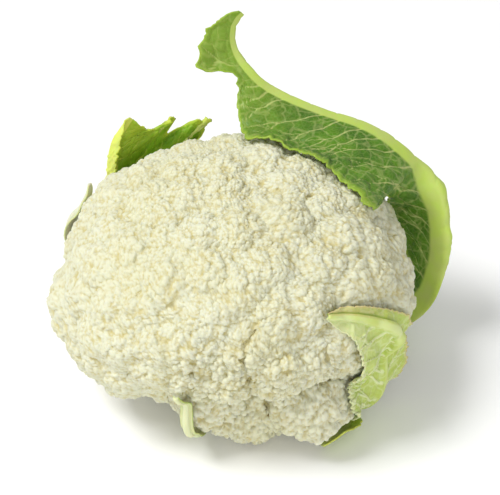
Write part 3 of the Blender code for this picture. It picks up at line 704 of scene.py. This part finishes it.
# The rib takes this many columns of points on each side. The fold lies between these shares of its radius,
# a half blade is at least so many radii wide, and it is walked in so many steps between its columns.
RIB_COLUMNS = 8
FOLD_FROM = 0.7
FOLD_TO = 1.9
LEAST_WIDTH = 1.3
WALK_STEPS = 3
# A blade that reaches the first length past its rib has its full teeth, and one as wide as the second its
# full ruffle. The near half's ruffle is ahead by an angle. Side veins fade out between two widths of blade.
FULL_TEETH = 12 * MM
FULL_RUFFLE = 20 * MM
NEAR_PHASE = 1.7
VEINS_FADE = (5 * MM, 15 * MM)
VEIN_THICK = 0.75 * MM
VEIN_HIGH = 0.45 * MM
BLISTER = 7 * MM
RIB_ROUND = 0.9
# Teeth of two sizes as shares of a leaf's own. Veins fork at a share of the blade, and waver by a height
# over a length, each vein shifted by an angle from the last.
TOOTH_SIZES = ((1.0, 1.0), (0.4, 0.45))
FORK_AT = 0.42
VEIN_WAVERS = ((1.3 * MM, 4.3 * MM, 2.1), (0.6 * MM, 1.9 * MM, 1.0))


def spline(rows, spacing):
    """A Catmull-Rom curve through rows of numbers, with about one row every spacing, and its lengths."""
    rows = np.array(rows, float)
    ends = np.vstack([2 * rows[0] - rows[1], rows, 2 * rows[-1] - rows[-2]])
    fine = np.linspace(0, len(rows) - 1, 40 * len(rows))
    i = np.minimum(fine.astype(int), len(rows) - 2)
    t = (fine - i)[:, None]
    a, b, c, d = (ends[i + k] for k in range(4))
    line = b + 0.5 * t * (c - a + t * (2 * a - 5 * b + 4 * c - d + t * (3 * (b - c) + d - a)))
    length = np.concatenate([[0], np.cumsum(np.linalg.norm(np.diff(line[:, :3], axis=0), axis=1))])
    steps = np.linspace(0, length[-1], int(length[-1] * MM / spacing))
    return np.column_stack([np.interp(steps, length, line[:, k]) for k in range(line.shape[1])]), steps * MM


def tooth_line(steps, size, depth, seed):
    """The cut edge: uneven saw teeth of two sizes that lean to the tip, as a distance added to the width."""
    chance = np.random.default_rng(seed)
    edge = np.zeros(len(steps))
    for share, part in TOOTH_SIZES:
        marks = np.cumsum(chance.uniform(0.55, 1.45, 600)) * size * share
        height = chance.uniform(0.3, 1.0, 601)
        slot = np.searchsorted(marks, steps)
        start = np.concatenate([[0], marks])[slot]
        along = (steps - start) / (marks[slot] - start)
        edge += depth * part * height[slot] * (np.where(along < 0.7, along / 0.7, (1 - along) / 0.3) - 0.5)
    return edge


def half_blade(rows, steps, frame, side, columns, teeth, sweep, seed):
    """One half of the leaf's middle surface: a walk out from the rib along the half blade's own direction,
    which lies flat across the rib, bends by the fold just beside it and curls on to the edge."""
    across, up, along = frame
    column = 6 if side > 0 else 7
    width, fold, curl = rows[:, column] * MM, rows[:, column + 2], rows[:, column + 4]
    rib = rows[:, 12] * MM
    blade = np.maximum(width - LEAST_WIDTH * rib, 0)
    cut = tooth_line(steps, *teeth, seed) * np.minimum(blade / FULL_TEETH, 1)
    width = np.maximum(width, LEAST_WIDTH * rib) + cut
    share = np.linspace(0, 1, columns + 1)[1:] ** 1.15
    marks = [rib * k for k in np.linspace(0, 1, RIB_COLUMNS + 1)[1:]]
    marks += [rib + (width - rib) * k for k in share]
    place = np.zeros((len(rows), 3))
    last = np.zeros(len(rows))
    out = []
    for mark in marks:
        for k in range(WALK_STEPS):
            s = last + (mark - last) * (k + 0.5) / WALK_STEPS
            bend = smoothstep(rib * FOLD_FROM, rib * FOLD_TO, s)
            out_share = np.clip((s - rib) / np.maximum(width - rib, MM), 0, 1)
            angle = np.radians(fold * bend + curl * out_share**2)
            lean = math.radians(sweep) * smoothstep(0, 1, s / (rib * 3))
            flat = across * (side * np.cos(angle) * np.cos(lean))[:, None] + along * np.sin(lean)[:, None]
            way = flat + up * (np.sin(angle) * np.cos(lean))[:, None]
            place = place + way * ((mark - last) / WALK_STEPS)[:, None]
        last = mark
        out.append((place.copy(), last))
    return out


def side_veins(steps, distance, width, rib, spacing, lean, seed):
    """1 on a side vein and 0 away from one. Veins leave the rib at uneven steps, run out leaning to the tip,
    waver, fork halfway and thin towards the edge: each is a curve of the length along over that across."""
    chance = np.random.default_rng(seed)
    vein = np.zeros(distance.shape)
    out = np.abs(distance)
    count = int(steps[-1] / spacing) + 1
    far = np.clip(out - FORK_AT * width, 0, None)
    for side in (-1, 1):
        for k in range(count):
            start = (k + chance.uniform(0.1, 0.9)) * spacing
            slope = lean * chance.uniform(0.75, 1.25)
            fork = chance.uniform(0.25, 0.6)
            path = start + slope * out + 0.35 * slope * out**2 / (30 * MM)
            for height, length, shift in VEIN_WAVERS:
                path = path + height * np.sin(out / length + shift * k)
            thick = VEIN_THICK * (1 - 0.65 * np.clip(out / width, 0, 1))
            for way in (-fork, fork):
                gap = np.abs(steps[:, None] - path - way * far) / math.hypot(1, slope)
                vein = np.maximum(vein, np.exp(-((gap / thick) ** 2)) * (np.sign(distance) == side))
    return vein * smoothstep(0.6, 1.0, out / rib) * smoothstep(*VEINS_FADE, width)


def taut(need):
    """The least lift that meets the need everywhere and runs smoothly between, like a sheet drawn tight."""
    lift = np.maximum(need, 0)
    for _ in range(TAUT_ROUNDS):
        edge = np.pad(lift, 1, mode="edge")
        around = (edge[:-2, 1:-1] + edge[2:, 1:-1] + edge[1:-1, :-2] + edge[1:-1, 2:]) / 4
        lift = np.maximum(np.maximum(need, 0), 0.3 * lift + 0.7 * around)
    return lift


def push_off_curd(grid, clear):
    """Move a sheet that would be in the curd or too near it outward along the rays from the curd's centre."""
    local = (grid.reshape(-1, 3) - HEAD_CENTRE) @ HEAD_TURN
    length = np.linalg.norm(local, axis=1)
    rays = local / length[:, None]
    need = curd_reach(rays) + clear.reshape(-1) - length
    lift = taut(need.reshape(clear.shape)).reshape(-1)
    return to_world(rays * (length + lift)[:, None]).reshape(grid.shape)


def leaf(name, rows, spacing, columns, teeth, ruffle, sweep, veins, puff, band, seed):
    """A closed leaf of two faces and an edge.

    The middle surface is walked out from the rib, waved by the ruffle (height and length), lifted off the
    curd and the floor, and puffed up between its veins. The inner face lies half a blade to one side; the
    outer face half a blade to the other and out by the half-round of the rib. Pairs such as the columns and
    the band, which is how far the pale rib shows in rib radii, give the near half first and then the far.
    """
    rows, steps = spline(rows, spacing)
    spine = rows[:, :3] * MM
    along = unit(np.gradient(spine, axis=0))
    across = unit(np.cross(rows[:, 3:6], along))
    up = np.cross(along, across)
    left = half_blade(rows, steps, (across, up, along), -1, columns[0], teeth, sweep, seed)
    right = half_blade(rows, steps, (across, up, along), 1, columns[1], teeth, sweep, seed + 1)
    offsets = [p for p, _ in left[::-1]] + [0 * spine] + [p for p, _ in right]
    distance = np.stack([-s for _, s in left[::-1]] + [0 * steps] + [s for _, s in right], axis=1)
    grid = spine[:, None] + np.stack(offsets, axis=1)
    rib = rows[:, 12][:, None] * MM
    width = np.where(distance > 0, distance[:, -1:], -distance[:, :1])
    reach = np.abs(distance) / width
    height, length = ruffle
    phase = 2 * math.pi * steps[:, None] / length + np.where(distance > 0, 0, NEAR_PHASE)
    wave = height * (np.sin(phase) + 0.5 * np.sin(2.3 * phase + 1)) * reach**2
    grid = grid + grid_normals(grid) * (wave * np.minimum(width / FULL_RUFFLE, 1))[..., None]
    bulge = RIB_ROUND * rib * np.sqrt(np.clip(1 - (distance / rib) ** 2, 0, 1))
    grid = push_off_curd(grid, bulge + BLADE + CLEAR_OF_CURD)
    grid[..., 2] += taut(bulge + BLADE + FLOOR_GAP - grid[..., 2])
    vein = side_veins(steps, distance, width, rib, *veins, seed + 2)
    pale = np.where(distance > 0, band[1], band[0])
    beside = smoothstep(1.0, 2.2, np.abs(distance) / rib) * smoothstep(0, 0.15, 1 - reach)
    chart = np.stack([steps[:, None] + 0 * distance, distance, 0 * distance], -1)
    blister = heap_profile(chart.reshape(-1, 3), BLISTER, seed).reshape(distance.shape)
    relief = puff * beside * (blister - 0.5) - 0.5 * puff * vein
    normals = grid_normals(grid)
    grid = grid + normals * relief[..., None]
    normals = grid_normals(grid)
    front = grid + normals * (0.5 * BLADE)
    back = grid - normals * (0.5 * BLADE + bulge + VEIN_HIGH * vein)[..., None]
    size = distance.size
    inner = grid_faces(*distance.shape)
    outer = inner[:, ::-1] + size
    rim = grid_rim(*distance.shape)
    after = np.roll(rim, -1)
    edge = np.stack([rim, after, after + size, rim + size], -1)
    points = np.vstack([front.reshape(-1, 3), back.reshape(-1, 3)])

    def twice(values):
        return np.concatenate([values.ravel(), values.ravel()])

    numbers = {
        "vein": twice(vein),
        "rib": twice(1 - smoothstep(0.6 * pale, pale, np.abs(distance) / rib)),
        # A painted shadow: a line of shade in the groove beside the rib, on its far half.
        "painted_rib_shadow": twice(np.exp(-(((distance / rib - 1.3) / 0.4) ** 2))),
        "edge": twice(smoothstep(0.88, 1.0, reach)),
        "far": twice((distance > 0) * 1.0),
        "outside": np.repeat([0.0, 1.0], size),
        "tip": twice(steps[:, None] / steps[-1] + 0 * distance),
    }
    vectors = {"chart": np.vstack([chart.reshape(-1, 3)] * 2)}
    return mesh_piece(name, points, np.vstack([inner, outer, edge]), numbers, vectors)


# The net of fine veins: its coarse and fine cells, and how far and over what length it is bent.
NET_COARSE = 8 * MM
NET_FINE = 2.2 * MM
NET_BEND = 6 * MM


def leaf_finish(name, blade, shade, rib, vein, edges, outside, net, painted_rib_shadow=0.0):
    """A leaf's skin: the blade's two greens in soft patches, a pale rib, side veins, a net of finer veins as
    the borders between cells of a pattern laid along the rib, and paler edges and tip, near half and far. The
    last argument paints a shadow line in the darker green beside the rib's far side."""
    constants = {"Roughness": 0.45, "Specular_IOR_Level": 0.3}
    finish = Finish(name, Subsurface_Weight=0.08, Subsurface_Scale=0.002, **constants)
    where = finish.place()
    chart = finish.vector("chart")
    ribs = finish.number("rib")
    veins = finish.number("vein")
    patch = finish.step(0.35, 0.7, finish.noise(where, 14 * MM))
    skin = finish.blend(patch, blade, shade)
    skin = finish.blend(finish.number("outside") * 0.8, skin, outside)
    sockets = {"Vector": chart, "Scale": 1 / NET_BEND, "Detail": 2.0}
    waver = finish.node("ShaderNodeTexNoise", {}, sockets, "Color")
    sockets = {0: waver, 1: (NET_BEND, NET_BEND, 0), 2: chart}
    bent = finish.node("ShaderNodeVectorMath", {"operation": "MULTIPLY_ADD"}, sockets)

    def cell_borders(size):
        sockets = {"Vector": bent, "Scale": 1 / size}
        return finish.node("ShaderNodeTexVoronoi", {"feature": "DISTANCE_TO_EDGE"}, sockets, "Distance")

    cells = cell_borders(NET_COARSE)
    fine = cell_borders(NET_FINE)
    lines = 1 - finish.step(0.02, 0.09, cells)
    threads = 1 - finish.step(0.02, 0.16, fine)
    skin = finish.blend(threads * (0.4 * net), skin, vein)
    skin = finish.blend(lines * net, skin, vein)
    skin = finish.blend(finish.step(0.2, 0.9, veins) * 0.75, skin, vein)
    edge = finish.blend(finish.number("far"), *edges)
    skin = finish.blend(finish.step(0.72, 0.95, finish.number("tip")) * 0.45, skin, edge)
    skin = finish.blend(finish.number("edge") * 0.7, skin, edge)
    band = finish.blend(finish.step(0.35, 0.65, finish.noise(where, 12 * MM)) * 0.4, rib, vein)
    skin = finish.blend(ribs, skin, band)
    # Painted shadow: the groove beside the rib is darkened towards the darker green.
    skin = finish.blend(finish.number("painted_rib_shadow") * painted_rib_shadow, skin, shade)
    finish.feed("Base Color", skin)
    relief = finish.noise(chart, 1.1 * MM, 2.0) * 0.4 + cells * 2.0
    finish.bump(relief, 0.4 * MM, 0.35)
    return finish.material


right_leaf = leaf("leaf_right_blade", RIGHT_LEAF, spacing=0.8 * MM, columns=(18, 60),
                  teeth=(7 * MM, 3.2 * MM), ruffle=(1.6 * MM, 30 * MM), sweep=8, veins=(13 * MM, 0.7),
                  puff=0.9 * MM, band=(3.5, 1.15), seed=11)
right_leaf.data.materials.append(leaf_finish(
    "leaf_dark_green", paint(84, 128, 22), paint(60, 102, 18), paint(180, 204, 88), paint(186, 192, 122),
    [paint(160, 190, 62)] * 2, paint(134, 166, 68), 0.25))
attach(right_leaf, "root")
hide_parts("leaf_right")

# The leaf behind the head on the left. Thinner and brighter, with deep waves; its left edge folds forward
# over itself and shows pale, and its top is torn into two jagged lobes.
BACK_LEAF = (
    (-16.5, 18.5, 15, 0.0, 0.0, 1.0, 8, 8, 0, 0, 0, 0, 6.5),
    (-36, 42, 13, 0.1, -0.1, 1.0, 9, 9, 0, 0, 0, 0, 6.2),
    (-55, 54, 18, 0.4, -0.5, 0.75, 9, 12, 0, 0, 0, 0, 5.8),
    (-65.5, 52, 36, 0.5, -0.8, 0.2, 9, 30, 30, 0, 0, 5, 5.0),
    (-69, 47, 54, 0.45, -0.87, 0.1, 10, 60, 70, 0, 0, 5, 4.4),
    (-70, 45, 69, 0.45, -0.87, 0.1, 11, 72, 100, 0, 0, 5, 3.8),
    (-70, 44.5, 76, 0.45, -0.87, 0.1, 12, 66, 115, 0, 0, 5, 3.5),
    (-70, 44.5, 82, 0.45, -0.87, 0.1, 12, 57, 115, 0, 0, 5, 3.2),
    (-70, 44.8, 87, 0.45, -0.87, 0.1, 12, 40, 115, 0, 0, 5, 3.0),
    (-70, 45, 92, 0.45, -0.87, 0.1, 12, 46, 115, 0, 0, 5, 2.8),
    (-69.8, 45, 97, 0.44, -0.87, 0.1, 12, 38, 115, 0, 0, 5, 2.6),
    (-69.3, 45.2, 101, 0.43, -0.87, 0.1, 12, 38, 115, 0, 0, 5, 2.4),
    (-68.5, 45.8, 106, 0.42, -0.88, 0.1, 11, 28, 110, 0, 0, 5, 2.2),
    (-66.5, 47, 112, 0.4, -0.9, 0.1, 9, 19, 100, 0, 0, 0, 1.8),
    (-62.5, 48.5, 118, 0.4, -0.9, 0.1, 6, 11, 80, 0, 0, 0, 1.4),
    (-58.5, 50, 123, 0.4, -0.9, 0.1, 1.5, 1.5, 0, 0, 0, 0, 0.8),
)
back_leaf = leaf("leaf_back_blade", BACK_LEAF, spacing=0.6 * MM, columns=(70, 20), teeth=(5 * MM, 3.0 * MM),
                 ruffle=(1.4 * MM, 24 * MM), sweep=35, veins=(10 * MM, 0.3), puff=0.9 * MM, band=(1.2, 5.0),
                 seed=23)
back_leaf.data.materials.append(leaf_finish(
    "leaf_bright_green", paint(122, 176, 6), paint(98, 148, 6), paint(214, 222, 104), paint(196, 210, 90),
    [paint(196, 212, 66)] * 2, paint(216, 224, 134), 0.18))
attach(back_leaf, "root")
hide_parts("leaf_back_left")

# The small inner leaf at the left edge. It grew under the outer leaves, so it is thick and cream white, with
# green only at its edge and point. It springs from the stalk and stands against the curd's left side.
LEFT_LEAF = (
    (-24.5, 1.5, 12, 0.0, 0.0, 1.0, 6, 6, 0, 0, 0, 0, 4.5),
    (-52, 12, 10, 0.1, 0.0, 1.0, 7, 7, 0, 0, 0, 0, 4.2),
    (-80, 24, 20, 0.7, -0.2, 0.7, 8, 8, 10, 10, 0, 0, 4.0),
    (-91, 26, 42, 0.95, -0.3, 0.1, 9, 9, 15, 15, 10, 10, 3.4),
    (-90, 25, 62, 0.95, -0.3, 0.0, 9, 9, 15, 15, 10, 10, 2.8),
    (-86, 24, 80, 0.95, -0.3, -0.1, 7, 7, 15, 15, 0, 0, 2.1),
    (-81.5, 24, 92, 0.95, -0.3, -0.2, 4, 4, 10, 10, 0, 0, 1.4),
    (-80.5, 24, 98, 0.95, -0.3, -0.2, 1.5, 1.5, 0, 0, 0, 0, 0.8),
)
left_leaf = leaf("leaf_left_blade", LEFT_LEAF, spacing=0.7 * MM, columns=(20, 20), teeth=(4 * MM, 1.4 * MM),
                 ruffle=(0.6 * MM, 20 * MM), sweep=15, veins=(9 * MM, 0.8), puff=0.3 * MM, band=(1.6, 1.6),
                 seed=31)
left_leaf.data.materials.append(leaf_finish(
    "leaf_cream_left", paint(212, 213, 188), paint(204, 208, 166), paint(214, 215, 190),
    paint(216, 217, 194), [paint(200, 210, 140)] * 2, paint(232, 232, 204), 0.3))
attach(left_leaf, "root")
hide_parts("leaf_left_tip")

# The keeled leaf on the front right. A young light green leaf that wraps the curd with its outer side to
# the viewer; its midrib stands up as a keel, and white veins net its left half.
FRONT_LEAF = (
    (19.5, -16, 13, 0.0, 0.0, 1.0, 6.5, 6.5, 0, 0, 0, 0, 5.0),
    (38, -30, 11, 0.0, 0.0, 1.0, 7, 7, 0, 0, 0, 0, 4.8),
    (53, -44, 9, -0.1, 0.05, 1.0, 8, 8, 0, 0, 0, 0, 4.6),
    (64.5, -51.5, 10, -0.45, 0.25, 0.85, 9, 17, -10, 10, 0, 5, 4.3),
    (71.5, -53, 17.5, -0.7, 0.4, 0.6, 15, 27, -20, 20, 0, 5, 4.1),
    (74, -52, 28, -0.84, 0.45, 0.3, 22, 33, -25, 25, 0, 5, 3.8),
    (74, -50, 38, -0.88, 0.47, 0.1, 20, 34, -25, 25, 0, 0, 3.4),
    (73.5, -49.7, 48, -0.88, 0.45, 0.0, 16, 32, -25, 20, 0, 0, 3.1),
    (71, -50.5, 57.5, -0.85, 0.5, -0.15, 12, 30, -25, 15, 0, 0, 2.8),
    (67, -54.5, 67, -0.75, 0.55, -0.35, 9, 28, -20, 15, 0, 0, 2.5),
    (61.5, -61, 76, -0.65, 0.55, -0.5, 7, 21, -10, 10, 0, 0, 2.1),
    (54.5, -68, 84, -0.5, 0.6, -0.65, 6, 12, 0, 5, 0, 0, 1.7),
    (48, -74, 89.5, -0.45, 0.6, -0.7, 4.5, 7, 0, 0, 0, 0, 1.3),
    (41.6, -78.5, 93.5, -0.4, 0.6, -0.75, 1.5, 1.5, 0, 0, 0, 0, 0.8),
)
front_leaf = leaf("leaf_front_blade", FRONT_LEAF, spacing=0.6 * MM, columns=(50, 36),
                  teeth=(3.5 * MM, 2.2 * MM), ruffle=(0.8 * MM, 16 * MM), sweep=5, veins=(9 * MM, 0.5),
                  puff=1.0 * MM, band=(0.6, 0.5), seed=43)
# The last number paints shade into the groove beside the keel.
front_leaf.data.materials.append(leaf_finish(
    "leaf_young_green", paint(188, 208, 92), paint(150, 172, 62), paint(200, 214, 118), paint(226, 234, 184),
    (paint(228, 232, 186), paint(212, 190, 140)), paint(186, 202, 98), 0.3, 0.9))
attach(front_leaf, "root")
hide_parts("leaf_front_right")

# The small jagged lobe on the floor under the keeled leaf. It is thin, light green and torn, and a stem of
# its own joins it to the stalk's foot.
LOW_LEAF = (
    (52, -44, 3.5, -0.1, 0.1, 1.0, 3, 3, 0, 0, 0, 0, 1.9),
    (58, -55, 3.5, -0.1, 0.2, 0.95, 5, 5, 0, 0, 0, 0, 1.8),
    (57.5, -63.5, 4.5, -0.25, 0.4, 0.8, 9, 8, 10, 10, 0, 0, 1.6),
    (52, -72, 6, -0.4, 0.5, 0.7, 10, 8, 10, 10, 0, 0, 1.3),
    (43.5, -79, 5, -0.4, 0.5, 0.7, 1.5, 1.5, 0, 0, 0, 0, 0.8),
)
low_leaf = leaf("leaf_low_blade", LOW_LEAF, spacing=0.6 * MM, columns=(22, 22), teeth=(4 * MM, 3.0 * MM),
                ruffle=(0.8 * MM, 14 * MM), sweep=25, veins=(7 * MM, 0.8), puff=0.5 * MM, band=(1.3, 1.3),
                seed=57)
low_leaf.data.materials.append(leaf_finish(
    "leaf_low_green", paint(184, 206, 84), paint(160, 188, 60), paint(196, 208, 120), paint(200, 212, 116),
    [paint(196, 204, 90)] * 2, paint(190, 208, 96), 0.25))
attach(low_leaf, "root")
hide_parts("leaf_low_right")

# The bract in the notch at the front left. A narrow, pale, thin-skinned strip pressed between two florets,
# green at its end, that runs back under the curd to the stalk.
BRACT = (
    (-9, -23.5, 12, 0.0, 0.0, 1.0, 4, 4, 0, 0, 0, 0, 3.0),
    (-15, -45, 8, 0.0, 0.1, 1.0, 4, 4, 0, 0, 0, 0, 2.6),
    (-18, -61, 9, 0.0, 0.3, 0.95, 4, 4, 5, 5, 0, 0, 1.9),
    (-21, -72.5, 20, 0.05, 0.75, 0.6, 3.2, 3.2, 15, 15, 0, 0, 1.5),
    (-24, -81, 35, 0.1, 0.95, 0.2, 3.2, 3.2, 15, 15, 0, 0, 1.2),
    (-26.5, -86, 47, 0.2, 0.95, 0.1, 2.8, 2.8, 15, 15, 0, 0, 1.0),
    (-28.5, -89, 56, 0.2, 0.95, 0.1, 1.4, 1.4, 0, 0, 0, 0, 0.8),
)
bract = leaf("bract_blade", BRACT, spacing=0.6 * MM, columns=(14, 14), teeth=(4 * MM, 0.8 * MM),
             ruffle=(0.4 * MM, 18 * MM), sweep=0, veins=(8 * MM, 0.8), puff=0.2 * MM, band=(1.6, 1.6),
             seed=61)
bract.data.materials.append(leaf_finish(
    "leaf_cream_bract", paint(214, 218, 168), paint(200, 208, 140), paint(216, 220, 172),
    paint(222, 226, 184), [paint(176, 196, 96)] * 2, paint(212, 216, 164), 0.2))
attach(bract, "root")
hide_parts("bract_front")

# The floor, the light and the camera: a plain white table in even white light, with a large soft lamp at
# the upper left and a weaker one in front, seen from above the front at the photograph's angle.
FLOOR_HALF = 4.0
SKY_STRENGTH = 0.5
LAMP_AIM = Vector((0, 0, 0.06))
CAMERA_AIM = (5.6 * MM, -26.3 * MM, 94.3 * MM)
CAMERA_DISTANCE = 708.3 * MM
CAMERA_ELEVATION = math.radians(38)
LENS_MM = 100
SENSOR_MM = 36

corners = np.array([[-1, -1, 0], [1, -1, 0], [1, 1, 0], [-1, 1, 0]]) * FLOOR_HALF
floor = mesh_piece("floor", corners, np.array([[0, 1, 2, 3]]))
floor.data.materials.append(Finish("floor_white", Base_Color=(0.97, 0.97, 0.97, 1), Roughness=0.9).material)

world = bpy.data.worlds.new("studio")
world.use_nodes = True
world.node_tree.nodes["Background"].inputs["Color"].default_value = (1, 1, 1, 1)
world.node_tree.nodes["Background"].inputs["Strength"].default_value = SKY_STRENGTH
bpy.context.scene.world = world

# Each lamp is a square soft light that faces the head: its place, the width of the square and its power.
for name, where, size, power in (("key", (-1.35, -0.32, 2.4), 1.0, 54), ("fill", (0.2, -2.6, 1.2), 2.0, 23)):
    light = bpy.data.lights.new(name, "AREA")
    light.size = size
    light.energy = power
    lamp = bpy.data.objects.new(name, light)
    lamp.location = where
    lamp.rotation_euler = (LAMP_AIM - Vector(where)).to_track_quat("-Z", "Y").to_euler()
    bpy.context.scene.collection.objects.link(lamp)

lens = bpy.data.cameras.new("camera")
lens.lens = LENS_MM
lens.sensor_width = SENSOR_MM
camera = bpy.data.objects.new("camera", lens)
away = Vector((0, -math.cos(CAMERA_ELEVATION), math.sin(CAMERA_ELEVATION)))
camera.location = Vector(CAMERA_AIM) + away * CAMERA_DISTANCE
camera.rotation_euler = (math.pi / 2 - CAMERA_ELEVATION, 0, 0)
bpy.context.scene.collection.objects.link(camera)
bpy.context.scene.camera = camera
bpy.context.scene.view_settings.view_transform = "Standard"
